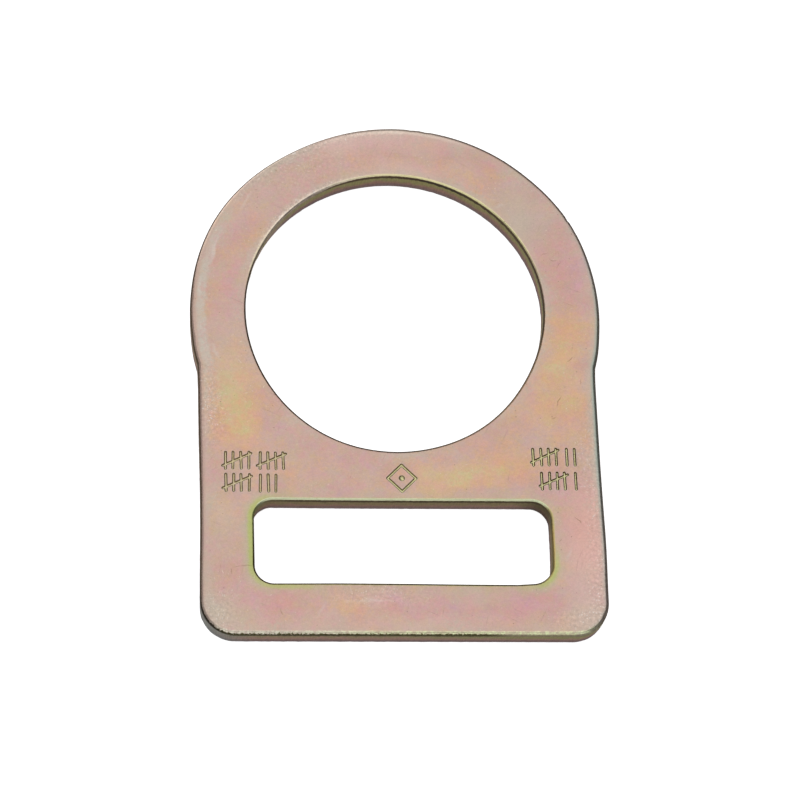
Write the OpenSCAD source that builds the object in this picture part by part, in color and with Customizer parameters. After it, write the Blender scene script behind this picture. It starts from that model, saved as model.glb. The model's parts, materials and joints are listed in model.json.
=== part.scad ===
// Slotted D ring stamped from flat steel plate.
// A round eye takes a hook or a rope, and the straight base under it has a slot for webbing.
// It lies on its back face: Z is up out of the front face, Y runs from the slot to the eye,
// and the origin is the centre of the eye on the back face. All sizes are millimetres.

/* [Ring] */
// Diameter of the round eye
eye_d = 47.5; // [40:0.5:56]
// Width of the metal band round the eye
band_w = 8.9; // [6:0.1:12]

/* [Slot] */
// Length of the webbing slot
slot_l = 46; // [36:0.5:50]
// Height of the webbing slot
slot_h = 13.6; // [10:0.2:18]
// Corner radius of the slot
slot_r = 3; // [1.5:0.1:4.5]

/* [Base] */
// Metal left between the eye and the slot, at its narrowest
mid_web = 8.55; // [7:0.05:12]
// Metal left between the slot and the foot
foot_web = 8.2; // [6:0.1:12]
// Corner radius at the foot
foot_r = 5.5; // [3:0.1:8]
// How far each side of the base stands in from the widest point of the ring
side_step = 1.3; // [0.6:0.1:3]
// Length of the straight flank that runs down from the ring to the kink in the side
flank_l = 2.8; // [1.5:0.1:5]

/* [Plate] */
// Thickness of the plate
plate_t = 4; // [3:0.1:6]
// Rounding of the front edges, where the die drew the metal in
front_edge = 0.5; // [0.3:0.05:1]
// Rounding of the back edges, from tumbling
back_edge = 0.35; // [0.2:0.05:0.6]

/* [Stamped tallies] */
// Height of an upright stroke
stroke_h = 3.1; // [2.4:0.1:3.3]
// Width of a stroke
stroke_w = 0.42; // [0.3:0.02:0.6]
// Depth of a stroke below the front face
stroke_depth = 0.25; // [0.1:0.05:0.5]
// Distance from one upright stroke to the next
stroke_pitch = 1.2; // [1:0.05:1.3]
// Clear width between two groups of strokes
group_gap = 1.3; // [1:0.1:1.6]
// Distance from the side of the base to the first stroke
stamp_margin = 4.1; // [3:0.1:5]

/* [Stamped lozenge] */
// Width of the lozenge across its corners
lozenge_w = 5; // [4:0.1:5.6]
// Diameter of the dot in the lozenge
lozenge_dot = 0.9; // [0.6:0.1:1.2]
// Height of the middle of the lozenge above the slot
lozenge_rise = 3.7; // [3.5:0.1:4.5]

/* [Hidden] */
// Circles stay smooth in every view
$fn = 96;

// Places worked out from the sizes above
eye_r = eye_d / 2;
ring_r = eye_r + band_w;
base_x = ring_r - side_step;
slot_top_y = -(eye_r + mid_web);
slot_y = slot_top_y - slot_h / 2;
foot_y = slot_top_y - slot_h - foot_web;

// The flank is tangent to the ring, so the kink lies on a circle through the end of a tangent
kink_y = -sqrt(pow(ring_r, 2) + pow(flank_l, 2) - pow(base_x, 2));
flank_angle = atan2(-kink_y, base_x) - atan2(flank_l, ring_r);

// The flank starts this far inside the ring, so that the two meet in a clean line
seat = 0.01;
// How far a cutting shape runs past the face that it cuts
past = 1;

// Rows of tallies: side of the base, height above the slot, number of strokes
SIDE = 0;
RISE = 1;
COUNT = 2;
tally_rows = [[-1, 4.9, 10], [-1, 1.2, 8], [1, 5.9, 7], [1, 1.9, 6]];

// Five strokes make one group: four upright, and one drawn across them
group_size = 5;
group_w = (group_size - 2) * stroke_pitch;

// Distance from the start of its row to upright stroke number k
function stroke_x(k) = floor(k / group_size) * (group_w + group_gap + stroke_w)
    + (k % group_size) * stroke_pitch;

// Length of a row of strokes, between the middles of its first and last uprights
function row_l(count) = let (last = count - 1)
    stroke_x(last % group_size == group_size - 1 ? last - 1 : last);

// Waste outside a rounded corner at the origin, with the metal to the left and below
module round_off(r) {
    translate([-r, -r])
        difference() {
            square(r + past);
            circle(r = r);
        }
}

// Section through a solid edge: metal from x = 0 out to x = reach, rounded at both faces
module edge_section(reach) {
    difference() {
        square([reach, plate_t]);
        translate([reach, plate_t])
            round_off(front_edge);
        translate([reach, 0])
            mirror([0, 1])
                round_off(back_edge);
    }
}

// Round plate with rounded edges
module puck(r) {
    rotate_extrude()
        edge_section(r);
}

// Straight strip of plate, running from the X axis down -Y, with its right edge rounded
module strip(reach, length) {
    rotate([90, 0, 0])
        linear_extrude(height = length)
            edge_section(reach);
}

// Section through an opening: empty from x = 0 out to x = reach, and wider at both faces
module opening_section(reach) {
    translate([0, -past])
        square([reach, plate_t + 2 * past]);
    translate([reach, plate_t])
        mirror([1, 0])
            round_off(front_edge);
    translate([reach, 0])
        rotate([0, 0, 180])
            round_off(back_edge);
}

// Round opening with its rounded edges
module round_opening(r) {
    rotate_extrude()
        opening_section(r);
}

// Straight opening with rounded long edges, running along Y and centred on the origin
module straight_opening(half_w, length) {
    rotate([90, 0, 0])
        linear_extrude(height = length, center = true) {
            opening_section(half_w);
            mirror([1, 0])
                opening_section(half_w);
        }
}

// One shape on the right side and its twin on the left
module both_sides() {
    children();
    mirror([1, 0, 0])
        children();
}

// Straight base under the ring: sides, foot and two round foot corners
module base() {
    corner_x = base_x - foot_r;
    corner_y = foot_y + foot_r;
    both_sides() {
        strip(base_x, -corner_y);
        translate([corner_x, corner_y, 0])
            puck(foot_r);
    }
    translate([corner_x, slot_y, 0])
        rotate([0, 0, -90])
            strip(slot_y - foot_y, 2 * corner_x);
}

// Flank on the right side, from the ring down to the kink and on into the base
module flank() {
    rotate([0, 0, -flank_angle])
        strip(ring_r - seat, flank_l + plate_t);
}

// Slot for the webbing
module slot() {
    corner_x = slot_l / 2 - slot_r;
    corner_y = slot_h / 2 - slot_r;
    translate([0, slot_y, 0]) {
        straight_opening(slot_l / 2, 2 * corner_y);
        rotate([0, 0, 90])
            straight_opening(slot_h / 2, 2 * corner_x);
        for (x = [-1, 1], y = [-1, 1])
            translate([x * corner_x, y * corner_y, 0])
                round_opening(slot_r);
    }
}

// Round-ended stroke, from the origin to a point
module stroke(run, rise) {
    length = norm([run, rise]);
    rotate([0, 0, atan2(rise, run)]) {
        translate([0, -stroke_w / 2])
            square([length, stroke_w]);
        for (x = [0, length])
            translate([x, 0])
                circle(d = stroke_w);
    }
}

// Row of tally strokes, from the middle of its first upright
module tally_row(count) {
    tall = stroke_h - stroke_w;
    for (k = [0:count - 1])
        if (k % group_size < group_size - 1)
            translate([stroke_x(k), stroke_w / 2])
                stroke(0, tall);
        else
            translate([stroke_x(k - group_size + 1) - stroke_pitch / 3, tall / 4])
                stroke(group_w + 2 * stroke_pitch / 3, tall * 3 / 4);
}

// Lozenge drawn with one stroke, with a dot in its middle
module lozenge() {
    side = lozenge_w / sqrt(2);
    rotate([0, 0, 45])
        difference() {
            square(side, center = true);
            square(side - 2 * stroke_w, center = true);
        }
    circle(d = lozenge_dot);
}

// Outline of everything that is stamped into the front face
module stamps() {
    reach = base_x - stamp_margin;
    for (row = tally_rows)
        translate([row[SIDE] < 0 ? -reach : reach - row_l(row[COUNT]), slot_top_y + row[RISE]])
            tally_row(row[COUNT]);
    translate([0, slot_top_y + lozenge_rise])
        lozenge();
}

// The whole plate
module d_ring() {
    color([0.79, 0.66, 0.58])
        difference() {
            union() {
                puck(ring_r);
                base();
                both_sides()
                    flank();
            }
            round_opening(eye_r);
            slot();
            translate([0, 0, plate_t - stroke_depth])
                linear_extrude(height = stroke_depth + past)
                    stamps();
        }
}

d_ring();
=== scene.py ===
# %% [markdown]
# # A slotted D ring, stamped from steel plate
# This ring joins a hook to a strap: the hook swings in the round eye, and the strap is
# threaded through the slot. One stroke of a press cuts it out of plate 4 mm thick, a tumbler
# takes off the burrs, and a coat of zinc with a thin yellow film keeps off the rust.
# The measured model is loaded first and is never changed. Everything after it is dressing.

# %% Load the measured model
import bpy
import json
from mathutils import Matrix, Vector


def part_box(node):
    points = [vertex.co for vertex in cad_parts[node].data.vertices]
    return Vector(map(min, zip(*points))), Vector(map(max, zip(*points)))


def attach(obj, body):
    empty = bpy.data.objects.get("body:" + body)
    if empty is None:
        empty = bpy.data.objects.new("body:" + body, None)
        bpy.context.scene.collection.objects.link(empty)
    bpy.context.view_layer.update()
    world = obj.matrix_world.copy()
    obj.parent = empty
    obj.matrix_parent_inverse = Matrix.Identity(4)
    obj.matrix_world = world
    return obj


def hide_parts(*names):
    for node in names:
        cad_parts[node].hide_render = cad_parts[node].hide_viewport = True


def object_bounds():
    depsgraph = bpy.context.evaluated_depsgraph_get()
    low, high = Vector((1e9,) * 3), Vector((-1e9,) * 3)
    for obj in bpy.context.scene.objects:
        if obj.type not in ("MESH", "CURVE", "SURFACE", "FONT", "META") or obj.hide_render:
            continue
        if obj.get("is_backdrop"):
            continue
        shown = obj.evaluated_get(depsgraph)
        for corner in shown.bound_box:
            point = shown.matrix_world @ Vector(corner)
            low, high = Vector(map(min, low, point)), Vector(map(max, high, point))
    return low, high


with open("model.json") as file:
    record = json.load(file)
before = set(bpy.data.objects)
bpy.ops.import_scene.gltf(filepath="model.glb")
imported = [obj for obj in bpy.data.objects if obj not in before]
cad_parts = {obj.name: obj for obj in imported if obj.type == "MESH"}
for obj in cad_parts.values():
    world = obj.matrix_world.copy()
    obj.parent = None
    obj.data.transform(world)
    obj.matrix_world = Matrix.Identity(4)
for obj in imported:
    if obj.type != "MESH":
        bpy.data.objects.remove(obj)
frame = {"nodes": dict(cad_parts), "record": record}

cad_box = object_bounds()
print("nodes of the measured model:", sorted(frame["nodes"]))

# %% [markdown]
# ## Sizes
# The plate's own corners give its length and thickness, and its record gives the eye and the
# slot's place. The other sizes are the few that a drawing would carry, all in millimetres,
# because a maker reads those. One factor turns them into metres.

# %% Sizes of the plate
import math
import json
import random
import bpy
import numpy as np
from mathutils import Matrix, Vector, kdtree
from mathutils.geometry import delaunay_2d_cdt

MM = 0.001
low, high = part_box("d_ring")
mounts = {mount["name"]: mount for mount in frame["record"]["mounts"]}
plate_t = (high[2] - low[2]) / MM
foot_y, ring_r = low[1] / MM, high[1] / MM
eye_r = mounts["ring_eye"]["dims"]["r_mm"]
slot_y = mounts["webbing_slot"]["pos_m"][1] / MM
slot_l, slot_h, slot_r = 46.0, 13.6, 3.0
slot_top_y = slot_y + slot_h / 2
side_step, foot_r, flank_l = 1.3, 5.5, 2.8
base_x = ring_r - side_step
print(f"plate {plate_t:.2f} mm thick, {ring_r - foot_y:.2f} mm long, {2 * base_x:.1f} mm wide")

# %% [markdown]
# ## Camera
# The camera looks down on the flat ring at about 66 degrees, a little from the left. A long
# lens from half a metre away keeps the round eye nearly round. Three turns are applied one
# after the other, and a shift slides the ring into the frame.

# %% Place the camera
camera_tilt, camera_yaw, camera_roll = -23.144, 6.129, -0.6245
camera_shift = Vector((-1.031, 12.661, -502.29))

turn = (Matrix.Rotation(math.radians(camera_roll), 3, "Z")
        @ Matrix.Rotation(math.radians(camera_yaw), 3, "Y")
        @ Matrix.Rotation(math.radians(camera_tilt), 3, "X"))
camera_data = bpy.data.cameras.new("studio_camera")
camera_data.lens = 141.85
camera_data.sensor_width = 36.0
camera = bpy.data.objects.new("studio_camera", camera_data)
camera.matrix_world = (Matrix.Translation(turn.transposed() @ -camera_shift * MM)
                       @ turn.transposed().to_4x4())
bpy.context.collection.objects.link(camera)
bpy.context.scene.camera = camera
print("camera at", camera.matrix_world.translation)

# %% [markdown]
# ## Light
# Satin metal shows what is above it, so one wide soft panel lights the whole face evenly.
# Lower panels, a long one in front and weaker ones at the left, brighten the edges that roll
# towards them. The rest of the studio stays dim: edges that turn that way go dark, and that
# dark line draws the outline. The plain view transform keeps the white of the floor white.

# %% Hang the soft panels
plate_middle = Vector((0.0, -0.011, 0.0))
panels = {
    "overhead_panel": ((0.0, 0.08, 0.52), (0.76, 0.86), 1.95),
    "front_panel": ((-0.12, -0.74, 0.42), (1.8, 0.5), 2.9),
    "left_panel": ((-0.75, 0.10, 0.34), (0.7, 0.45), 0.45),
    "far_left_panel": ((-0.36, 0.68, 0.34), (0.6, 0.45), 1.5),
}
for name, (at, (width, depth), watts) in panels.items():
    light = bpy.data.lights.new(name, "AREA")
    light.shape = "RECTANGLE"
    light.size, light.size_y, light.energy = width, depth, watts
    panel = bpy.data.objects.new(name, light)
    panel.location = at
    panel.rotation_euler = (plate_middle - Vector(at)).to_track_quat("-Z", "Y").to_euler()
    bpy.context.collection.objects.link(panel)

world = bpy.data.worlds.new("dim_room")
world.use_nodes = True
room = world.node_tree.nodes["Background"].inputs
room["Color"].default_value = (0.95, 0.97, 1.0, 1.0)
room["Strength"].default_value = 0.12
bpy.context.scene.world = world
bpy.context.scene.view_settings.view_transform = "Standard"
print(len(panels), "soft panels")

# %% [markdown]
# ## Rims
# A rim is walked with the metal on the left hand. Each of its points carries the direction
# that faces the air, so that the same rim can be drawn again at any distance into the metal.
# Straight runs and bends are enough for all three rims: the outside, the eye and the slot.

# %% Straight runs and bends
rim_step = 0.4
bend_step = math.radians(7)


def run(start, end):
    """Points of a straight run of rim, each with the direction that faces the air."""
    start, end = np.array(start, float), np.array(end, float)
    length = np.hypot(*(end - start))
    count = max(1, math.ceil(length / rim_step))
    ahead = (end - start) / length
    at = start + np.arange(count)[:, None] / count * (end - start)
    return np.hstack([at, np.tile([ahead[1], -ahead[0]], (count, 1))])


def bend(centre, radius, first, last):
    """The same for a round bend; it turns right where the metal is hollowed out."""
    sweep = math.radians(abs(last - first))
    count = max(3, math.ceil(radius * sweep / rim_step), math.ceil(sweep / bend_step))
    angle = np.radians(first + (last - first) * np.arange(count) / count)
    out = np.stack([np.cos(angle), np.sin(angle)], axis=1)
    return np.hstack([np.array(centre) + radius * out, out if last > first else -out])


print(len(bend((0, 0), slot_r, 90, 0)), "points round a corner of the slot")

# %% [markdown]
# Down from the round ring run a short straight flank, a kink, the straight side and a round
# foot corner. The kink gets a small hollow bend, because no press tool has a perfectly sharp
# inner corner.

# %% Draw the outside
kink_r = 1.2
kink_y = -math.sqrt(ring_r ** 2 + flank_l ** 2 - base_x ** 2)
flank_deg = math.degrees(math.atan2(-kink_y, base_x) - math.atan2(flank_l, ring_r))
slope = math.radians(flank_deg)
kink_cut = kink_r * math.tan(slope / 2)
corner_x, corner_y = base_x - foot_r, foot_y + foot_r
low_y = kink_y - kink_cut
mid_x, mid_y = base_x + kink_cut * math.sin(slope), kink_y + kink_cut * math.cos(slope)
top_x, top_y = ring_r * math.cos(slope), -ring_r * math.sin(slope)
outside_rim = np.vstack([
    run((-corner_x, foot_y), (corner_x, foot_y)),
    bend((corner_x, corner_y), foot_r, -90, 0),
    run((base_x, corner_y), (base_x, low_y)),
    bend((base_x + kink_r, low_y), kink_r, 180, 180 - flank_deg),
    run((mid_x, mid_y), (top_x, top_y)),
    bend((0, 0), ring_r, -flank_deg, 180 + flank_deg),
    run((-top_x, top_y), (-mid_x, mid_y)),
    bend((-base_x - kink_r, low_y), kink_r, flank_deg, 0),
    run((-base_x, low_y), (-base_x, corner_y)),
    bend((-corner_x, corner_y), foot_r, 180, 270),
])
print(f"the flank leans {flank_deg:.1f} degrees, and the kink is at y {kink_y:.2f} mm")

# %% Draw the eye and the slot
half_l, half_h = slot_l / 2, slot_h / 2
inner_x, inner_y = half_l - slot_r, half_h - slot_r
slot_rim = np.vstack([
    run((-inner_x, half_h), (inner_x, half_h)), bend((inner_x, inner_y), slot_r, 90, 0),
    run((half_l, inner_y), (half_l, -inner_y)), bend((inner_x, -inner_y), slot_r, 0, -90),
    run((inner_x, -half_h), (-inner_x, -half_h)), bend((-inner_x, -inner_y), slot_r, -90, -180),
    run((-half_l, -inner_y), (-half_l, inner_y)), bend((-inner_x, inner_y), slot_r, 180, 90),
])
slot_rim[:, 1] += slot_y
rims = {"outside": outside_rim, "eye": bend((0, 0), eye_r, 360, 0), "slot": slot_rim}
print("points on the rims:", {name: len(rim) for name, rim in rims.items()})

# %% [markdown]
# No ring from a worn press is perfectly true. This one is a hair flat at the upper left and
# full at the upper right, and its eye is a little out of round. Each fault is a low hill or
# hollow on a rim: its place, how far it spreads, and how high it stands towards the air.

# %% Put the rims a little out of true
hills = {
    "outside": [((-15.8, 28.6), 12.5, -0.43), ((28.3, 16.3), 7.4, 0.26),
                ((17.3, 27.7), 11.4, 0.19), ((-32.5, 3.8), 9.5, -0.14),
                ((-31.4, -33.0), 11.0, -0.19), ((31.4, -39.0), 7.5, 0.16),
                ((31.8, -7.6), 3.0, 0.18), ((-31.8, -7.6), 3.0, 0.18)],
    "eye": [((-10.0, -21.5), 13.7, -0.46), ((21.2, -10.8), 10.8, 0.48)],
    "slot": [((-8.0, -45.9), 17.0, 0.15), ((22.0, -45.5), 3.2, 0.28)],
}


def nearness(rim, place, spread):
    """1 at a place, and falling softly to 0 away from it."""
    return np.exp(-(np.hypot(*(rim[:, :2] - place).T) / spread) ** 2)


for name, rim in rims.items():
    for place, spread, height in hills[name]:
        rim[:, :2] += rim[:, 2:] * (height * nearness(rim, place, spread))[:, None]
print(sum(map(len, hills.values())), "hills and hollows")

# %% [markdown]
# ## A sheared edge
# A press doesn't cut all the way through. The tool first draws the top edge in and rounds it,
# then rubs the wall smooth, and at last the metal tears. So a real edge has a smooth upper
# part, a ragged line and a rougher lower part that stands back a little. Sums of waves with
# seeded phases make that raggedness; they close up round the rim, and give the same result
# on every run. A few small dents from tumbling mark the front edge.

# %% Waves and dents along a rim
wave_count = 24
dents = {"outside": 12, "eye": 4, "slot": 3}


def walk_length(rim):
    """Distance walked to each point of a rim, and the whole way round."""
    gaps = np.hypot(*(np.roll(rim[:, :2], -1, axis=0) - rim[:, :2]).T)
    return np.concatenate([[0], np.cumsum(gaps)[:-1]]), gaps.sum()


def waves(rim, longest, shortest, seed):
    """Smooth random waves along a rim, between about -1 and 1; lengths in millimetres."""
    draw = random.Random(seed)
    walked, whole = walk_length(rim)
    total = np.zeros(len(rim))
    for _ in range(wave_count):
        length = longest * (shortest / longest) ** draw.random()
        turns = max(1, round(whole / length))
        total += np.sin(2 * math.pi * (turns * walked / whole + draw.random()))
    return total / math.sqrt(wave_count)


def dent_depth(name, rim):
    """Small dents along the front edge."""
    draw = random.Random("dents of the " + name)
    walked, whole = walk_length(rim)
    depth = np.zeros(len(rim))
    for _ in range(dents[name]):
        gap = np.abs(walked - draw.random() * whole)
        gap = np.minimum(gap, whole - gap)
        depth += draw.uniform(0.02, 0.07) * np.exp(-(gap / draw.uniform(0.25, 0.6)) ** 2)
    return depth


print("sample of waves:", np.round(waves(rims["eye"], 8, 2, 1)[:4], 2))

# %% [markdown]
# The edge is swept as a stack of levels round each rim: back face, back rounding, torn part,
# smooth part, front rounding, front face. Each level says how far into the metal it stands,
# how high it is, and whether it wears the finish of the faces or of the wall. The front face
# sits a hair low, which leaves room for the lips of the stamped grooves. At its worn side the
# eye is rounded less, and its torn part leans back more.

# %% Sweep the rims
face_z = plate_t - 0.025
tear_z, tear_swing, roughness = 1.95, 0.24, 0.035
front_edge, back_edge = 0.5, 0.35
drawn_in = {"outside": 1.3, "eye": 1.0, "slot": 0.9}
skin, face_inset = 0.012, 1.0
stand_back, lean_back = 0.075, 0.18
worn_side, worn_spread = (-21.0, 11.0), 10.0
FILM, WALL = 0, 1


def edge_levels(name, rim, tear):
    """Levels of one rim from back to front: distance into the metal, height, finish."""
    rough = [roughness * waves(rim, 3.5, 0.9, f"{name} rough {k}") for k in range(6)]
    rub = waves(rim, 5, 1, name + " rub")
    drawn = front_edge * drawn_in[name] * (1 + 0.03 * waves(rim, 40, 8, name + " draw"))
    dent = dent_depth(name, rim)
    worn = nearness(rim, worn_side, worn_spread) if name == "eye" else 0
    drawn = drawn * (1 - 0.5 * worn)
    back = stand_back + lean_back * worn
    yield face_inset, 0, FILM
    yield 0.6, 0, FILM
    for degrees in (90, 65, 40, 18):
        angle = math.radians(degrees)
        yield (skin + back + back_edge * (1 - math.cos(angle)) + 0.4 * rough[0],
               back_edge * (1 - math.sin(angle)), FILM if degrees == 90 else WALL)
    for k, share in enumerate((0, 0.25, 0.5, 0.75, 0.93)):
        yield (skin + back * (1 - 0.45 * share) + np.abs(rough[k + 1]) * 0.8,
               back_edge + (tear - back_edge) * share, WALL)
    for share in (0.03, 0.2, 0.45, 0.7, 0.9):
        yield (skin + 0.006 * (1 + rub) * (1 - share),
               tear + (face_z - drawn - tear) * share, WALL)
    for angle in np.radians([0, 15, 30, 45, 60, 75]):
        pushed = dent * math.cos(angle - math.radians(30)) ** 2
        yield (skin + drawn * (1 - math.cos(angle)) + pushed,
               face_z - drawn * (1 - math.sin(angle)) - 0.6 * pushed, FILM)
    yield skin + drawn + 0.3 * dent, face_z - 0.05 * dent, FILM
    yield 0.88, face_z, FILM
    yield face_inset, face_z, FILM


tears = {name: tear_z + tear_swing * waves(rim, 14, 1.6, name + " tear")
         for name, rim in rims.items()}
print("the walls tear at these heights:", [tear.mean().round(2) for tear in tears.values()])

# %% [markdown]
# ## Stamped tallies
# The front face carries marks that were struck in cold: rows of tally strokes at both sides
# and a lozenge with a dot in the middle. A struck groove has a narrow flat bottom, steep
# sides and a low lip where the metal was pushed up. Each stroke gets its own small slip, turn
# and depth, since no two blows are alike.

# %% Lay out the strokes
stroke_w, stroke_depth, stroke_h = 0.42, 0.25, 3.1
stroke_pitch, group_gap, group_size = 1.2, 1.3, 5
group_w = (group_size - 2) * stroke_pitch
stamp_reach = base_x - 4.1
tally_rows = [(-1, 4.9, 10), (-1, 1.2, 8), (1, 5.9, 7), (1, 1.9, 6)]
lozenge_w, lozenge_dot, lozenge_rise = 5.0, 0.9, 3.7


def stroke_x(k):
    """Distance from the start of its row to upright stroke number k."""
    return (k // group_size) * (group_w + group_gap + stroke_w) + (k % group_size) * stroke_pitch


def row_strokes(side, rise, count):
    """Ends of every stroke of one row of tallies; the last of each group lies across it."""
    across = group_size - 1
    last = count - 1 - ((count - 1) % group_size == across)
    x = -stamp_reach if side < 0 else stamp_reach - stroke_x(last)
    y = slot_top_y + rise
    tall = stroke_h - stroke_w
    for k in range(count):
        if k % group_size < across:
            foot = np.array([x + stroke_x(k), y + stroke_w / 2])
            yield foot, foot + (0, tall)
        else:
            foot_x = x + stroke_x(k - across) - stroke_pitch / 3
            yield (np.array([foot_x, y + tall / 4]),
                   np.array([foot_x + group_w + 2 * stroke_pitch / 3, y + tall / 4 + tall * 3 / 4]))


def struck(start, end, draw):
    """A stroke as a hand would strike it: its ends, half width and depth."""
    middle, (x, y) = (start + end) / 2, (end - start) / 2
    angle = math.radians(draw.uniform(-1.6, 1.6))
    arm = np.array([x * math.cos(angle) - y * math.sin(angle),
                    x * math.sin(angle) + y * math.cos(angle)])
    middle = middle + [draw.uniform(-0.05, 0.05), draw.uniform(-0.05, 0.05)]
    return (middle - arm, middle + arm, stroke_w / 2 * draw.uniform(0.9, 1.05),
            stroke_depth * draw.uniform(0.75, 1.0))


draw = random.Random(3)
strokes = [struck(start, end, draw) for row in tally_rows for start, end in row_strokes(*row)]
middle = np.array([0, slot_top_y + lozenge_rise])
tip = lozenge_w / 2 - stroke_w / math.sqrt(2)
tips = [middle + way for way in ((tip, 0), (0, tip), (-tip, 0), (0, -tip))]
strokes += [(a, b, stroke_w / 2, stroke_depth * 0.9) for a, b in zip(tips, tips[1:] + tips[:1])]
strokes.append((middle, middle, lozenge_dot / 2, stroke_depth * 0.8))
print(len(strokes), "strokes to strike")

# %% [markdown]
# The groove is a function of the distance to the nearest stroke: flat at the bottom, steep at
# the side, then the lip. Where two strokes cross, the deeper one wins.

# %% Shape of a struck groove
groove_side = 0.09
lip_crest, lip_w, lip_h = 0.04, 0.13, 0.022
far_off = 9.0


def from_stroke(points, stroke):
    """Distance of points from the middle line of one stroke."""
    start, along = stroke[0], stroke[1] - stroke[0]
    length = max(float(along @ along), 1e-12)
    share = np.clip((points - start) @ along / length, 0, 1)
    return np.hypot(*(points - start - share[:, None] * along).T)


def struck_height(points):
    """Height above the face, and distance from the nearest stroke's edge."""
    groove, lip = np.zeros(len(points)), np.zeros(len(points))
    edge = np.full(len(points), far_off)
    for stroke in strokes:
        beyond = from_stroke(points, stroke) - stroke[2]
        groove = np.maximum(groove, stroke[3] * np.clip(-beyond / groove_side, 0, 1))
        past_crest = np.abs(beyond - lip_crest) / (lip_w - lip_crest)
        lip = np.maximum(lip, lip_h * np.clip(1 - past_crest, 0, 1))
        edge = np.minimum(edge, beyond)
    return np.where(groove > 0, -groove, lip), edge


print("groove depth at a stroke:", np.round(struck_height(strokes[0][0][None])[0], 3))

# %% [markdown]
# The face needs fine points only where it is struck. Lines of points follow each stroke, a
# fine net covers each crossing, and wider and wider spacing fills the rest. That keeps every
# groove crisp with few triangles.

# %% Points along the strokes
stroke_room = lip_w + 0.02
middle_step, side_gap, fan_step, crossing_pitch = 0.2, 0.16, 0.12, 0.06


def along_stroke(stroke):
    """Lines of points that follow one stroke, with a fan at each end."""
    start, end, half_w, _ = stroke
    length = float(np.hypot(*(end - start)))
    ahead = (end - start) / length if length > 0 else np.array([1.0, 0.0])
    side = np.array([-ahead[1], ahead[0]])
    count = max(2, int(length / middle_step))
    points = [start + ahead * length * t for t in np.linspace(0, 1, count)]
    for beyond in (-groove_side, -groove_side / 2, 0, lip_crest, lip_w):
        reach = half_w + beyond
        if length > 0:
            for t in np.linspace(0, 1, math.ceil(length / side_gap) + 1):
                points += [start + ahead * length * t + side * reach * way for way in (-1, 1)]
        count = max(5, math.ceil(math.pi * reach / fan_step))
        for k in range(1, count) if length > 0 else range(count + 1):
            angle = math.pi * k / count
            sideways, outward = side * math.cos(angle), ahead * math.sin(angle)
            points += [start + reach * (sideways - outward), end + reach * (sideways + outward)]
    return np.array(points)


def hex_net(low_xy, top_xy, pitch):
    """A net of evenly spaced points."""
    rows = np.arange(low_xy[1], top_xy[1], pitch * math.sqrt(3) / 2)
    return np.array([(x + pitch / 2 * (k % 2), y) for k, y in enumerate(rows)
                     for x in np.arange(low_xy[0], top_xy[0], pitch)]).reshape(-1, 2)


def crossing(one, other):
    """A fine net where two strokes come together."""
    reach = [stroke[2] + stroke_room for stroke in (one, other)]
    lows = [np.minimum(s[0], s[1]) - r for s, r in zip((one, other), reach)]
    tops = [np.maximum(s[0], s[1]) + r for s, r in zip((one, other), reach)]
    net = hex_net(np.maximum(*lows), np.minimum(*tops), crossing_pitch)
    return net[(from_stroke(net, one) < reach[0]) & (from_stroke(net, other) < reach[1])]


fine_points = []
for i, stroke in enumerate(strokes):
    points = along_stroke(stroke)
    clear = np.full(len(points), True)
    for other in strokes[:i] + strokes[i + 1:]:
        clear &= from_stroke(points, other) > other[2] + stroke_room
    fine_points.append(points[clear])
    fine_points += [crossing(stroke, other) for other in strokes[i + 1:]]
fine_points = np.vstack(fine_points)
print(len(fine_points), "points for the stamped marks")

# %% [markdown]
# ## One closed skin
# The swept rims are joined to the two faces by a constrained triangulation: it must keep the
# rim's own edges, and may join the loose points in between as it likes. Triangles that fall
# inside the eye or the slot are thrown away.

# %% Fill a face between the rims
def inside(points, loop):
    """Which points are inside a closed loop."""
    result = np.zeros(len(points), bool)
    x, y = points.T
    for (x0, y0), (x1, y1) in zip(loop, np.roll(loop, -1, axis=0)):
        if y0 != y1:
            result ^= ((y0 > y) != (y1 > y)) & (x < x0 + (y - y0) * (x1 - x0) / (y1 - y0))
    return result


def on_metal(points, loops):
    """Which points are inside the first loop and outside the others."""
    return inside(points, loops[0]) & ~inside(points, loops[1]) & ~inside(points, loops[2])


def fill(loops, loose):
    """Triangles over the metal; loop points come first in their numbering."""
    points = np.vstack(loops + [loose])
    edges, first = [], 0
    for loop in loops:
        count = len(loop)
        edges += [(first + k, first + (k + 1) % count) for k in range(count)]
        first += count
    flat = [Vector(p) for p in points]
    _, _, faces, origins, _, _ = delaunay_2d_cdt(flat, edges, [], 0, 1e-6)
    number = [origin[0] for origin in origins]
    faces = np.array([[number[v] for v in face] for face in faces if len(face) == 3])
    return faces[on_metal(points[faces].mean(axis=1), loops)]


print(sum(map(len, rims.values())), "rim points bound each face")

# %% Distances from the rims
searches = {}
for name, rim in rims.items():
    onward = np.roll(rim[:, :2], -1, axis=0) - rim[:, :2]
    fine = np.vstack([rim[:, :2] + onward * t for t in (0, 0.25, 0.5, 0.75)])
    searches[name] = kdtree.KDTree(len(fine))
    for k, (x, y) in enumerate(fine):
        searches[name].insert((x, y, 0), k)
    searches[name].balance()


def rim_distance(points, name):
    """Distance of points from one rim, seen from above."""
    return np.array([searches[name].find((x, y, 0))[2] for x, y in points])


def from_rims(points):
    """Distance of points from the nearest rim."""
    return np.min([rim_distance(points, name) for name in rims], axis=0)


print("search trees for", ", ".join(searches))

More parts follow.
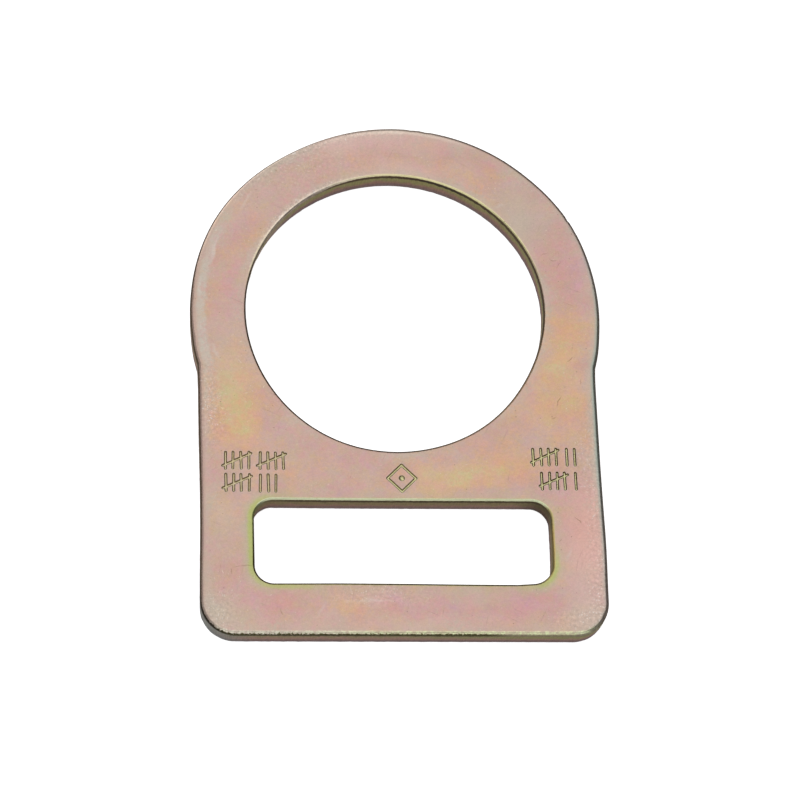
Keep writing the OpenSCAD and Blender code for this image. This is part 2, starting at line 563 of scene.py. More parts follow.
# %% Loose points for the faces
stroke_halo, lip_room = 0.75, 0.16
net_pitch, halo_pitch = 1.3, 0.42
net_room, halo_room = 3.0, 1.2
loops = [rim[:, :2] for rim in rims.values()]
back_loose = [(rim[:, :2] - rim[:, 2:] * offset)[::every]
              for offset, every in ((1.3, 1), (1.75, 2), (2.4, 3)) for rim in rims.values()]
net = hex_net((-base_x - 2, foot_y), (base_x + 2, ring_r), net_pitch)
back_loose = np.vstack(back_loose + [net[on_metal(net, loops) & (from_rims(net) > net_room)]])

halo = hex_net((-stamp_reach - 1, slot_top_y + 0.6), (stamp_reach + 1, slot_top_y + 9.4),
               halo_pitch)
gap = struck_height(halo)[1]
halo = halo[(gap > lip_w + lip_room) & (gap < stroke_halo) & (from_rims(halo) > halo_room)]
clear = struck_height(back_loose)[1] > stroke_halo
front_loose = np.vstack([back_loose[clear], halo, fine_points])
print(len(front_loose), "loose points in front,", len(back_loose), "behind")

# %% Join the skin
def join_skin():
    """Every point and face of the plate, each face's finish, and the torn line's height."""
    verts, faces, finishes, torn_at = [], [], [], []
    loops = {"back": [], "front": []}
    total = 0
    for name, rim in rims.items():
        count = len(rim)
        around = np.arange(count)
        for k, (inset, height, finish) in enumerate(edge_levels(name, rim, tears[name])):
            at = rim[:, :2] - rim[:, 2:] * np.broadcast_to(inset, count)[:, None]
            verts.append(np.column_stack([at, np.broadcast_to(height, count)]))
            torn_at.append(tears[name])
            here, there = total + around, total + (around + 1) % count
            if k:
                faces += np.stack([here - count, there - count, there, here], axis=1).tolist()
                finishes += [finish] * count
            else:
                loops["back"].append(here)
            total += count
        loops["front"].append(here)
    placed = np.vstack(verts)
    for side, loose in (("front", front_loose), ("back", back_loose)):
        rows = loops[side]
        triangles = fill([placed[row][:, :2] for row in rows], loose)
        numbering = np.concatenate(rows + [total + np.arange(len(loose))])
        height = face_z + struck_height(loose)[0] if side == "front" else np.zeros(len(loose))
        verts.append(np.column_stack([loose, height]))
        torn_at.append(np.full(len(loose), tear_z))
        faces += numbering[triangles if side == "front" else triangles[:, ::-1]].tolist()
        finishes += [FILM] * len(triangles)
        total += len(loose)
    return np.vstack(verts), faces, finishes, np.concatenate(torn_at)


verts, faces, finishes, torn_at = join_skin()
print(len(verts), "points,", len(faces), "faces")

# %% [markdown]
# ## Helpers for the finishes
# A finish is made of nodes joined by wires. Here a Value stands for what a node gives out,
# and plain signs reckon with it: each sign becomes one Math node. Other helpers fade a mask
# in, lay one colour over another, and turn a colour read on a screen into the linear
# light that is mixed.

# %% Values that change over the surface
class Value:
    """A number, place or colour that changes over the surface."""

    def __init__(self, socket):
        self.socket = socket
        self.tree = socket.id_data

    def __add__(self, other):
        return reckon("ADD", self, other)

    def __mul__(self, other):
        return reckon("MULTIPLY", self, other)

    def __sub__(self, other):
        return reckon("SUBTRACT", self, other)

    def __rsub__(self, other):
        return reckon("SUBTRACT", other, self)

    def __rtruediv__(self, other):
        return reckon("DIVIDE", other, self)

    __radd__ = __add__


def feed(socket, source):
    """A value joined to a socket, or the socket set to something plain."""
    if isinstance(source, Value):
        source.tree.links.new(source.socket, socket)
    else:
        socket.default_value = source


def put(tree, kind, feeds=None, **settings):
    """One node with its settings, and what feeds it."""
    node = tree.nodes.new(kind)
    for name, setting in settings.items():
        setattr(node, name, setting)
    for socket, source in (feeds or {}).items():
        feed(node.inputs[socket], source)
    return node


def reckon(operation, a, b):
    """One sum of two numbers; at least one is a Value."""
    tree = a.tree if isinstance(a, Value) else b.tree
    return Value(put(tree, "ShaderNodeMath", {0: a, 1: b}, operation=operation).outputs[0])


print("a Value knows", [name for name in vars(Value) if name.startswith("__r")])

# %% Sums, masks and colours
def most(first, *others):
    """The greatest of some values."""
    for other in others:
        first = reckon("MAXIMUM", first, other)
    return first


def limited(value, top):
    """A value that never passes the top."""
    return reckon("MINIMUM", value, top)


def vector(operation, a, b):
    """One sum with two places or two colours."""
    return Value(put(a.tree, "ShaderNodeVectorMath", {0: a, 1: b}, operation=operation).outputs[0])


def turned(place, degrees, centre=(0, 0, 0)):
    """A place turned about an upright axis."""
    feeds = {"Vector": place, "Center": centre, "Axis": (0, 0, 1),
             "Angle": math.radians(degrees)}
    return Value(put(place.tree, "ShaderNodeVectorRotate", feeds).outputs[0])


def fade(value, start, end):
    """A mask that goes smoothly from 0 at start to 1 at end."""
    feeds = {"Value": value, "From Min": start, "From Max": end}
    return Value(put(value.tree, "ShaderNodeMapRange", feeds,
                     interpolation_type="SMOOTHSTEP").outputs["Result"])


def linear(red, green, blue):
    """A screen colour from 0 to 255, as linear light."""
    parts = [v / 255 for v in (red, green, blue)]
    return tuple(v / 12.92 if v <= 0.04045 else ((v + 0.055) / 1.055) ** 2.4
                 for v in parts) + (1,)


def blend(mask, under, over):
    """One colour laid over another where the mask is 1."""
    under, over = (linear(*tone) if isinstance(tone, tuple) else tone for tone in (under, over))
    return Value(put(mask.tree, "ShaderNodeMix", {0: mask, 6: under, 7: over},
                     data_type="RGBA").outputs[2])


print("mid grey in linear light:", [round(v, 3) for v in linear(128, 128, 128)])

# %% [markdown]
# ## Shared effects
# An effect that more than one finish uses is a node group: it is built once, and each finish
# feeds it its own values. The first is the grain, a fine mottle with a coarser one beside it.
# The floor uses it as faint tooth of paper, and the plate as satin left by the tumbler.

# %% Build the grain group
no_place = (0, 0, 0)


def new_group(name, takes, gives, kind="Float"):
    """An empty node group, the values it takes, and the sockets for what it gives."""
    tree = bpy.data.node_groups.new(name, "ShaderNodeTree")
    for label, start in takes.items():
        shape = "NodeSocketVector" if isinstance(start, tuple) else "NodeSocketFloat"
        tree.interface.new_socket(label, in_out="INPUT", socket_type=shape).default_value = start
    for label in gives:
        tree.interface.new_socket(label, in_out="OUTPUT", socket_type="NodeSocket" + kind)
    entry = tree.nodes.new("NodeGroupInput").outputs
    leave = tree.nodes.new("NodeGroupOutput").inputs
    return tree, {label: Value(entry[label]) for label in takes}, leave


def place_group(tree, group, *feeds):
    """A node group in use, fed in the order of its inputs, and what it gives."""
    node = put(tree, "ShaderNodeGroup", dict(enumerate(feeds)), node_tree=group)
    return [Value(socket) for socket in node.outputs]


def noise(place, size, detail, roughness, result="Fac"):
    """Soft random mottle, with grains of about this size."""
    feeds = {"Vector": place, "Scale": 1 / size, "Detail": detail, "Roughness": roughness}
    return Value(put(place.tree, "ShaderNodeTexNoise", feeds).outputs[result])


grain_group, takes, gives = new_group(
    "satin_grain", {"Position": no_place, "Size": 0.3, "Coarse size": 2.5}, ("Fine", "Coarse"))
feed(gives["Fine"], noise(takes["Position"], takes["Size"], 3, 0.6))
feed(gives["Coarse"], noise(takes["Position"], takes["Coarse size"], 4, 0.6))
print("group", grain_group.name, "is ready")

# %% [markdown]
# A soft patch is a round or long stain with no hard edge. It marks where the film is thick,
# thin or worn. The place fed to it has been made to wander first, so the stain isn't a neat oval.

# %% Build the patch and wander groups
patch_group, takes, gives = new_group(
    "soft_patch", {"Position": no_place, "Centre": no_place, "Reach": (1, 1, 1)}, ("Mask",))
away = vector("DIVIDE", vector("SUBTRACT", takes["Position"], takes["Centre"]), takes["Reach"])
far = put(patch_group, "ShaderNodeVectorMath", {0: away}, operation="LENGTH").outputs["Value"]
feed(gives["Mask"], fade(Value(far), 1.25, 0.1))

wander_group, takes, gives = new_group(
    "wander", {"Position": no_place, "Size": 8, "Amount": 2}, ("Position",), "Vector")
swirl = noise(takes["Position"], takes["Size"], 3, 0.5, "Color")
offset = vector("MULTIPLY", vector("SUBTRACT", swirl, (0.5, 0.5, 0.5)), takes["Amount"])
feed(gives["Position"], vector("ADD", takes["Position"], offset))
print("groups", patch_group.name, "and", wander_group.name, "are ready")

# %% [markdown]
# A band is a strip along a rim or a stroke: it starts at one distance, ends at another, and
# its edges are as ragged as wanted. Rubbed edges, the painted highlight on the rolled edge, the
# green stain round the slot and the painted shade line at the cut are all bands.

# %% Build the band group
band_group, takes, gives = new_group(
    "ragged_band",
    {"Position": no_place, "Distance": 0, "Start": 0, "End": 1, "Soft": 0.2,
     "Ragged": 0.2, "Ragged size": 1}, ("Mask",))
ragged = (noise(takes["Position"], takes["Ragged size"], 4, 0.65) - 0.5) * takes["Ragged"]
distance = takes["Distance"] + ragged
rise = fade(distance, takes["Start"] - takes["Soft"], takes["Start"])
fall = fade(distance, takes["End"] + takes["Soft"], takes["End"])
feed(gives["Mask"], rise * fall)
print("group", band_group.name, "is ready")

# %% [markdown]
# Specks are pores and grit: a net has at most one speck in each cell, and only a share of its
# cells has one. Fed with a stretched and turned place, the same group draws short scratches.

# %% Build the speck group
speck_group, takes, gives = new_group(
    "specks", {"Position": no_place, "Spacing": 2, "Size": 0.15, "Share": 0.3}, ("Mask",))
cells = put(speck_group, "ShaderNodeTexVoronoi",
            {"Vector": takes["Position"], "Scale": 1 / takes["Spacing"]},
            voronoi_dimensions="2D").outputs
lots = put(speck_group, "ShaderNodeSeparateColor", {0: Value(cells["Color"])}).outputs
chosen = reckon("LESS_THAN", Value(lots[0]), takes["Share"])
radius = takes["Size"] * (Value(lots[1]) + 0.4)
spot = fade(Value(cells["Distance"]) * takes["Spacing"], radius, radius * 0.4)
feed(gives["Mask"], spot * chosen)
print("group", speck_group.name, "is ready")

# %% [markdown]
# ## A coat in the making
# A painter lays tone over tone, each only where it is wanted. So a Coat here is a material
# with its colour so far, and tools to find a place, make a mask, and lay a tone through it.

# %% Tools of a coat
through = 99


class Coat:
    """A material, its colour so far, and the tools that work on it."""

    def __init__(self, name):
        self.material = bpy.data.materials.new(name)
        self.material.use_nodes = True
        self.tree = self.material.node_tree
        self.shader = self.tree.nodes["Principled BSDF"].inputs
        metres = Value(put(self.tree, "ShaderNodeTexCoord").outputs["Object"])
        self.place = vector("MULTIPLY", metres, (1 / MM, 1 / MM, 1 / MM))
        sides = put(self.tree, "ShaderNodeSeparateXYZ", {0: self.place}).outputs
        self.x, self.y, self.z = (Value(socket) for socket in sides)
        self.stains_at = self.bands_at = self.place

    def measure(self, name):
        """A distance that the mesh carries."""
        return Value(put(self.tree, "ShaderNodeAttribute", attribute_name=name).outputs["Fac"])

    def grain(self, size, coarse_size, at=None):
        """Fine and coarse mottle."""
        return place_group(self.tree, grain_group, at or self.place, size, coarse_size)

    def wander(self, size, amount):
        """The place, made to wander."""
        return place_group(self.tree, wander_group, self.place, size, amount)[0]

    def patch(self, x, y, reach_x, reach_y, at=None):
        """A soft stain, right through the plate, that reaches this far each way."""
        return place_group(self.tree, patch_group, at or self.stains_at, (x, y, 0),
                           (reach_x, reach_y, through))[0]

    def stains(self, marks):
        """Soft stains added up, each with its strength."""
        return sum(self.patch(*place) * strength for *place, strength in marks)

    def band(self, distance, start, end, soft, ragged, size):
        """A ragged strip between two distances."""
        return place_group(self.tree, band_group, self.bands_at, distance, start, end, soft,
                           ragged, size)[0]

    def edge(self, distance, end, soft, ragged, size):
        """A ragged strip that begins at the rim itself."""
        return self.band(distance, -1, end, soft, ragged, size)

    def specks(self, at, spacing, size, share):
        """Small spots, at most one to each cell of a net."""
        return place_group(self.tree, speck_group, at, spacing, size, share)[0]

    def lay(self, tone, mask):
        """A tone laid over the colour so far, where the mask is 1."""
        self.colour = blend(mask, self.colour, tone)

    def relief(self, height, strength, depth):
        """Low relief, as light and shade show it."""
        feeds = {"Height": height, "Strength": strength, "Distance": depth}
        feed(self.shader["Normal"], Value(put(self.tree, "ShaderNodeBump", feeds).outputs[0]))

    def metal(self, shade, roughness):
        """Metal of the colour so far, lightened or darkened by a shade."""
        feed(self.shader["Base Color"], vector("MULTIPLY", self.colour, shade))
        feed(self.shader["Roughness"], roughness)
        feed(self.shader["Metallic"], 1)


def mottle(*parts):
    """Grains added up, each about its middle and with its own gain."""
    return sum((grain - 0.5) * gain for grain, gain in parts)


print("a coat can", [word for word in vars(Coat) if word[0] != "_"])

# %% [markdown]
# ## Floor
# The floor is white card, lit from within like a light table, as for catalogue pictures. The
# camera sees it near white with a faint shadow. The polished edges mirror the dim studio, so
# for their rays the card is darker and gives no light.

# %% Lay the floor
card_half, card_z = 1.5, -0.00002
card_corners = [(-1, -1), (1, -1), (1, 1), (-1, 1)]
mesh = bpy.data.meshes.new("white_card")
mesh.from_pydata([(card_half * x, card_half * y, card_z) for x, y in card_corners], [],
                 [(0, 1, 2, 3)])
card = bpy.data.objects.new("white_card", mesh)
bpy.context.collection.objects.link(card)

paper = Coat("white_card")
tooth, cloud = paper.grain(0.8, 60)
rays = put(paper.tree, "ShaderNodeLightPath").outputs
tone = blend(cloud, (246, 246, 247), (250, 250, 250))
feed(paper.shader["Base Color"], blend(Value(rays["Is Glossy Ray"]), tone, (190, 187, 184)))
feed(paper.shader["Emission Strength"], Value(rays["Is Camera Ray"]) * 0.74)
feed(paper.shader["Emission Color"], (1, 1, 1, 1))
feed(paper.shader["Roughness"], 0.9)
feed(paper.shader["Specular IOR Level"], 0.2)
paper.relief(tooth, 0.1, 0.0001)
mesh.materials.append(paper.material)
card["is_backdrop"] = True
print("floor", card.name)

# %% [markdown]
# ## The plate
# The finish has to know where it is on the metal. So each point carries its distance from
# the three rims, the nearest stroke and the torn line. A painter judges these by eye; here
# they are measured once and kept with the mesh.

# %% Make the plate
measures = {name + "_rim": rim_distance(verts[:, :2], name) for name in rims}
in_front = verts[:, 2] > plate_t / 2
measures["stroke_edge"] = np.where(in_front, struck_height(verts[:, :2])[1], far_off)
measures["above_tear"] = verts[:, 2] - torn_at

mesh = bpy.data.meshes.new("plated_ring")
mesh.from_pydata((verts * MM).tolist(), [], faces)
for name, values in measures.items():
    layer = mesh.attributes.new(name, "FLOAT", "POINT")
    layer.data.foreach_set("value", values.astype(np.float32))
mesh.polygons.foreach_set("use_smooth", [True] * len(faces))
mesh.polygons.foreach_set("material_index", finishes)
plated_ring = bpy.data.objects.new("plated_ring", mesh)
bpy.context.collection.objects.link(plated_ring)
print(len(measures), "measures on", sum(len(face) - 2 for face in faces), "triangles")

# %% [markdown]
# ## The film on the faces
# Yellow chromate is about as thin as a soap bubble's skin, so its colour goes with its
# thickness: rose for the most part, gold where it is thicker and violet where it is thinner.
# The thickness drifts slowly over the plate, and a ramp turns it into colour. A stain is
# written as its middle, how far it reaches each way, and its strength.

# %% Colour of the film
film_tones = [
    (0, (194, 156, 163)), (0.22, (203, 161, 156)), (0.42, (200, 167, 153)),
    (0.58, (207, 169, 146)), (0.74, (210, 173, 140)), (0.88, (206, 181, 142)),
    (1, (200, 183, 139)),
]
thick_stains = [
    (-25.6, -15.6, 5.5, 12, 0.58), (28.2, -4, 5, 6, 0.2),
    (26, -14, 6, 9, 0.24), (-12, -27.8, 10, 4, 0.16),
    (8.5, -28.5, 8, 3.6, 0.38), (15.5, -26, 7, 5, 0.28),
    (-9.4, -49.4, 6, 3, 0.24), (-26.5, -36, 4.5, 7, 0.16),
    (13.5, 20, 6, 5, 0.2),
]
thin_stains = [
    (27.8, 6, 6, 8, 0.26), (-26.5, 11, 4.5, 5, 0.14),
    (26, -37.5, 4.5, 8, 0.04), (7, -49.8, 9, 3.6, 0.16),
    (29.2, -44, 4.5, 5, 0.08), (-21, -48.8, 7, 3.5, 0.12),
    (18, -48.8, 7, 3.6, 0.24), (-4, -48.6, 4, 2.6, 0.16),
]

film = Coat("chromate_film")
wandering = film.stains_at = film.wander(6, 5)
drift_fine, drift = film.grain(4, 17)
cloud_fine, cloud = film.grain(0.55, 1.7)
thickness = (mottle((drift, 0.75), (drift_fine, 0.44), (cloud_fine, 0.5), (cloud, 0.44)) + 0.4
             + film.stains(thick_stains) - film.stains(thin_stains))
ramp = put(film.tree, "ShaderNodeValToRGB", {"Fac": thickness})
stops = ramp.color_ramp.elements
while len(stops) < len(film_tones):
    stops.new(0.5)
for stop, (at, tone) in zip(stops, film_tones):
    stop.position = at
    stop.color = linear(*tone)
film.colour = Value(ramp.outputs["Color"])
print("the film has", len(film_tones), "tones and", len(thick_stains + thin_stains), "stains")

# %% [markdown]
# Even an even film leans to green or rose, and to gold or violet, in blotches of a few
# millimetres. Two drifts do that, one for green against red and one for blue.

# %% Lean of the colour
green_fine, green_coarse = film.grain(2.2, 5)
blue_fine, blue_coarse = film.grain(1.8, 4.6, wandering)
to_green = mottle((green_fine, 0.17), (green_coarse, 0.17))
to_blue = mottle((blue_fine, 0.4), (blue_coarse, 0.4))
tint = put(film.tree, "ShaderNodeCombineXYZ",
           {0: 1 - to_green, 1: to_green + 1, 2: to_blue + 1})
film.colour = vector("MULTIPLY", film.colour, Value(tint.outputs[0]))
print(len(film.tree.nodes), "nodes so far")

# %% [markdown]
# Rubbing wears the edges more than the middle. There the film is grey-green, with paler and
# duller stains beside it. Haze and one long streak are broken up by fine clouds, because
# rubbing never takes a film off evenly.

# %% Rubbed edges, stains and haze
grey_green, worn_and_highlight_grey = (192, 179, 163), (196, 190, 178)
pale_pink, salmon = (214, 183, 174), (218, 169, 157)
pale_stains = [
    (28.5, -44, 5.5, 11, 0.62), (30, -33, 3.2, 9, 0.3), (0, -52.2, 34, 2, 0.25),
    (-10, 31.5, 26, 4.6, 0.7), (2, 25, 11, 1.8, 0.4), (-4, -48, 7, 2, 0.3),
]
dull_stains = [
    (20.5, 16, 6.5, 7.5, 0.75), (-29, -51, 5.5, 4, 0.8), (-31.2, -46, 2.4, 8, 0.6),
    (29, -51.6, 5.5, 4, 0.8), (12, -47.8, 6, 2.6, 0.22), (-22, 24, 9, 7, 0.35),
    (-27, -37, 4.5, 9, 0.3), (-27, -8.5, 5, 8.5, 0.3),
]

outside, eye, slot = (film.measure(name + "_rim") for name in rims)
rubbed_places = most(film.patch(34, -27, 9, 27), film.patch(-16, 29, 20, 12),
                     film.patch(-33, 4, 6, 22) * 0.4)
rubbed = film.edge(outside, 0.8, 1.5, 2.4, 1.6) * (rubbed_places * 0.55 + 0.35)
eye_places = film.patch(0, 12, 30, 20) * 0.45 + 0.25
eye_rubbed = film.edge(eye, 0.6, 1.2, 2, 1.6) * eye_places
film.lay(grey_green, most(limited(film.stains(dull_stains), 0.85), rubbed, eye_rubbed))
film.lay(pale_pink, limited(film.stains(pale_stains), 0.8))
film.lay(salmon, film.patch(28, -37, 4.5, 9) * 0.65)

haze_fine, haze = film.grain(0.7, 7, wandering)
near_rim = most(film.edge(outside, 1.5, 3, 1.5, 2.5), film.edge(eye, 0.8, 2.2, 1.5, 2.5))
hazy = fade(haze, 0.44, 0.62) * fade(haze_fine, 0.36, 0.62)
film.lay(grey_green, hazy * (near_rim * 0.45 + 0.15))
streak = film.band(outside, 1.4, 2, 0.7, 1.7, 1.3) * film.patch(-30, 1, 8, 17)
film.lay(worn_and_highlight_grey, streak * (fade(haze_fine, 0.34, 0.56) * 0.5 + 0.5) * 0.7)
print(len(pale_stains), "pale stains and", len(dull_stains), "dull ones")

# %% [markdown]
# Round the slot the film is green: a thin line everywhere, wider round and below the left end
# and at the lower right corner.

# %% Green round the slot
slot_green, slot_haze = (178, 186, 112), (184, 182, 150)
corner_places = film.patch(-24, -39, 7.5, 12.5) + film.patch(23, -45, 6, 5) * 0.8
film.lay(slot_haze, film.edge(slot, 0.9, 1.6, 1.2, 1.6) * (corner_places * 0.35 + 0.22))
green_places = most(corner_places, film.patch(-19, -46.6, 6, 3.4) * 0.74)
green = film.edge(slot, 0.6, 0.8, 0.8, 1.2) * green_places
thin_green = film.edge(slot, 0.28, 0.35, 0.4, 1) * 0.55
film.lay(slot_green, limited(most(green, thin_green), 0.85))
print(len(film.tree.nodes), "nodes so far")

# %% [markdown]
# Where the edge rolls over it is rubbed most, and a pale strip of painted highlight runs
# along it: yellow-green at slot and foot, cream at the eye, worn to pink at the upper left.
# The long sides carry a painted reflection, cooler teal at the right and warmer mauve at the left.

# %% Painted highlights and reflections on the rolled edges
slot_roll_highlight, eye_roll_highlight, worn_cream_and_highlight = (220, 227, 190), (236, 228, 172), (236, 220, 202)
foot_roll_highlight, foot_cream_highlight = (232, 238, 190), (234, 232, 210)
teal_roll_reflection, mauve_roll_reflection = (158, 178, 168), (184, 156, 144)
worn_fine, worn = film.grain(0.5, 5)
spotted = fade(worn_fine, 0.38, 0.62) * 0.56 + 0.44

# painted highlight on the upper rolled edge of the slot
slot_highlight = film.band(slot, 0.12, 0.34, 0.12, 0.16, 0.9)
film.lay(slot_roll_highlight, slot_highlight * fade(film.y, slot_top_y - 1.5, slot_top_y - 0.5) * 0.8)
foot_straight = fade(film.y, foot_y + 2.6, foot_y + 0.5)
# painted highlight on the rolled edge of the foot
foot_highlight = film.band(outside, 0.16, 0.44, 0.26, 0.4, 0.6) * foot_straight
to_right = fade(film.x, -24, 4)
foot_highlight_tone = blend(to_right, foot_cream_highlight, foot_roll_highlight)
film.lay(foot_highlight_tone, foot_highlight * (to_right * 0.15 + 0.8) * spotted)
# the top edge: real wear with a painted highlight
top_wear_and_highlight = film.patch(0, 33, 18, 6)
film.lay(worn_cream_and_highlight, film.edge(outside, 0.8, 0.6, 0.5, 1.2) * top_wear_and_highlight * 0.6)

# painted highlight on the rolled edge of the eye, paler cream where it is worn
eye_worn = film.patch(-15, 18, 14, 15)
eye_highlight = film.band(eye, 0.12, 0.34, 0.12, 0.14, 0.9) * fade(film.y, 2, 14)
film.lay(blend(eye_worn, eye_roll_highlight, worn_cream_and_highlight), eye_highlight * 0.85)
film.lay(worn_cream_and_highlight, film.edge(eye, 0.35, 0.5, 0.5, 0.7) * eye_worn * spotted * 0.6)
# painted reflections on the rolled long sides: teal at the right, mauve at the left
teal_reflection_side = film.patch(34, -18, 12, 42)
film.lay(teal_roll_reflection, film.edge(outside, 0.6, 0.5, 0.3, 1.2) * teal_reflection_side * 0.7)
mauve_reflection_side = film.patch(-34, -18, 9, 44)
film.lay(mauve_roll_reflection, film.edge(outside, 0.6, 0.4, 0.3, 1.2) * mauve_reflection_side * 0.85)
print(len(film.tree.nodes), "nodes so far")

# %% [markdown]
# Small marks make metal look handled: dark pores, pale flecks and short scratches, and
# painted glints of light where the edges are rough. All come from the speck group, and patches
# keep them to some places, since wear is never spread evenly.

# %% Pores, flecks and painted glints
speck_tone, fleck_tone, painted_glint_tone = (128, 104, 92), (228, 212, 198), (232, 226, 220)
painted_glint_places = [
    (31, -46.5, 3.4, 8.5, 1), (27, -51.6, 5, 2.2, 0.8), (-29, -50.5, 4.5, 4.5, 0.8),
    (30, -30, 2.6, 16, 0.7), (-29.8, -17, 2.6, 8, 0.9), (-4, -47.6, 9, 2.2, 0.6),
    (-18, 26, 16, 7, 0.4),
]
satin_fine, satin = film.grain(0.22, 2.2)


def dashes(degrees, share):
    """Short scratches one way: specks on a place that is turned and stretched."""
    stretched = vector("MULTIPLY", turned(film.place, degrees), (1 / 12, 1 / 0.45, 1))
    return film.specks(stretched, 1, 0.11, share)


pores = film.specks(film.place, 2, 0.09, film.patch(26, 14, 7, 9) * 0.35 + 0.18)
film.lay(speck_tone, pores * 0.6)
fleck_start = 0.4 - film.patch(-12, -49.5, 12, 5) * 0.08
flecks = film.specks(wandering, 0.8, 0.09, 0.4) * fade(satin, fleck_start, 0.64)
film.lay(fleck_tone, flecks * 0.52)
eye_rough = film.edge(eye, 0.6, 0.9, 0.8, 1) * eye_worn
ring_rough = film.edge(outside, 1, 1.2, 1, 1.2) * film.patch(-15, 28, 22, 12)
rough_places = limited(most(eye_rough, ring_rough, film.stains(painted_glint_places)), 1)
# painted glints of light on the rough edges
painted_glint = film.specks(wandering, 0.4, 0.13, 0.42) * rough_places * fade(satin, 0.3, 0.56)
film.lay(painted_glint_tone, painted_glint * 0.62)
scratches = most(dashes(24, 0.05), dashes(-63, 0.05), dashes(102, 0.04))
film.lay(speck_tone, scratches * fade(satin_fine, 0.42, 0.6) * 0.4)
print(len(painted_glint_places), "places sparkle")

# %% [markdown]
# The larger marks have their own places: dark scuffs, thin as a hair, and pale wisps where
# something soft dragged over the film. A mark is its middle, its turn, half its length and
# its strength. The place wobbles first, so that none is dead straight.

# %% Scuffs and wisps
scuff_tone, wisp_tone = (132, 100, 78), (214, 206, 196)
scuffs = [
    (27.2, -35.3, -55, 0.9, 0.6), (24.2, -38.6, 60, 0.4, 0.5), (-24.6, -43.2, 5, 2, 0.5),
    (-26.6, -44, 85, 0.7, 0.45), (-19, -50.5, -60, 0.6, 0.5), (25.4, -15.4, 62, 1.2, 0.6),
    (27.4, -8.2, 40, 0.8, 0.55), (24.2, -18.4, 20, 0.6, 0.45), (28.8, -11.9, 75, 0.6, 0.45),
    (24.3, 10.2, 30, 0.6, 0.5), (25.6, 9.2, -20, 0.7, 0.5), (26.5, 8.4, 50, 0.5, 0.45),
    (17, 19.2, 15, 0.6, 0.35), (-18.7, 24.3, 0, 0.2, 0.6), (-22, 20.8, 0, 0.2, 0.5),
    (-21.3, 13.9, 0, 0.2, 0.5),
]
wisps = [
    (-28.7, 10, 77, 2.6, 0.45), (-31, 3.5, 88, 2, 0.35), (-28.6, -7.5, -65, 1.6, 0.3),
    (25.5, -41, 70, 1.4, 0.25), (-5, -48.6, 2, 3.4, 0.28), (-13, -50.2, 55, 1.8, 0.2),
    (17.4, 18.6, 20, 1.1, 0.3), (-23.4, 19, 60, 2.2, 0.3),
]
wobbling = film.wander(1.6, 1.1)


def marks_mask(marks, half_width):
    """Long narrow patches, each turned its own way."""
    return most(*[film.patch(x, y, half_length, half_width,
                             turned(wobbling, -degrees, (x, y, 0))) * strength
                  for x, y, degrees, half_length, strength in marks])


film.lay(scuff_tone, marks_mask(scuffs, 0.09))
film.lay(wisp_tone, marks_mask(wisps, 0.32))
print(len(scuffs), "scuffs and", len(wisps), "wisps")

# %% [markdown]
# The struck grooves are olive at the bottom, and their steep sides get a painted brown shade.
# Their lips stand proud of the face and are painted bright as a highlight.

# %% Struck grooves
groove_green, groove_side_shade = (220, 220, 164), (116, 88, 52)
stroke_edge = film.measure("stroke_edge")
groove = film.edge(stroke_edge, -0.03, 0.05, 0.03, 0.3)
side = film.band(stroke_edge, -0.09, 0.02, 0.04, 0.06, 0.5)
lip = film.band(stroke_edge, 0.04, 0.1, 0.04, 0.03, 0.5)
film.lay(groove_green, groove * (0.85 - film.patch(-24, -28, 15, 11) * 0.35))
# painted shade on the steep sides of the grooves
film.lay(groove_side_shade, side * (film.patch(24, -28, 16, 16) * 0.3 + 0.65))
# painted highlight on the raised lips
film.lay(worn_and_highlight_grey, lip * 0.4)
print(len(film.tree.nodes), "nodes so far")

# %% [markdown]
# Last comes a dark line of painted shade right at the cut, where the rolled front edge
# mirrors the dim studio. It is ragged along the foot and faint at the ends of the slot. Its brown
# turns green at the foot, and black at the left foot corner and at the top of the eye.

# %% Painted shade along the cut
brown_edge_shade, green_edge_shade, black_edge_shade = (100, 82, 60), (84, 84, 42), (66, 60, 50)
ochre_edge = (196, 166, 96)
foot_side = fade(film.y, foot_y + foot_r, foot_y + foot_r / 2)
left_corner = film.patch(-31, -51.5, 5.5, 5.5)
slot_right = film.patch(24, -39.5, 4.5, 8)
slot_ends = most(slot_right, film.patch(-22.5, -34, 6, 4.5))

outside_shade_reach = (0.19 - foot_side * 0.05 + film.patch(21, 25, 17, 17) * 0.12
                 - film.patch(-13, 31, 19, 12) * 0.16 + left_corner * 0.03)
foot_shade_ragged = foot_straight * (0.9 - fade(film.x, 2, 16) * 0.55) + 0.24
# painted shade: a dark line along each rim at the cut
outside_edge_shade = film.edge(outside, outside_shade_reach, 0.07, foot_shade_ragged, 0.32)
eye_low = fade(film.y, 15, -13)
eye_shade_reach = eye_low * 0.24 + 0.09 - film.patch(-17, 17, 12, 14) * 0.16
eye_edge_shade = film.edge(eye, eye_shade_reach, 0.07, 0.14, 0.45)
slot_low = fade(film.y, slot_top_y - 1, slot_top_y - slot_h + 1)
slot_edge_shade = film.edge(slot, slot_low * 0.27 + 0.04, 0.07, 0.14, 0.45) * (1 - slot_ends * 0.7)

edge_shade_tone = blend(foot_straight, brown_edge_shade, green_edge_shade)
black_shade_places = most(left_corner, film.patch(10, 24, 9, 5))
edge_shade_tone = blend(black_shade_places, edge_shade_tone, black_edge_shade)
foot_end = foot_straight * fade(film.x, 12, 17)
film.lay(ochre_edge, film.edge(slot, 0.36, 0.1, 0.2, 0.6) * slot_right * 0.7)
# lay the painted shade line
film.lay(edge_shade_tone, most(outside_edge_shade, eye_edge_shade, slot_edge_shade)
         * (left_corner * 0.1 + 0.9 - foot_end * 0.7))
print(len(film.tree.nodes), "nodes so far")

# %% [markdown]
# The satin shows as small changes of shade and gloss, and as a low relief with the pores sunk
# into it. All come from the same grains, so they fall together as they do on real metal.

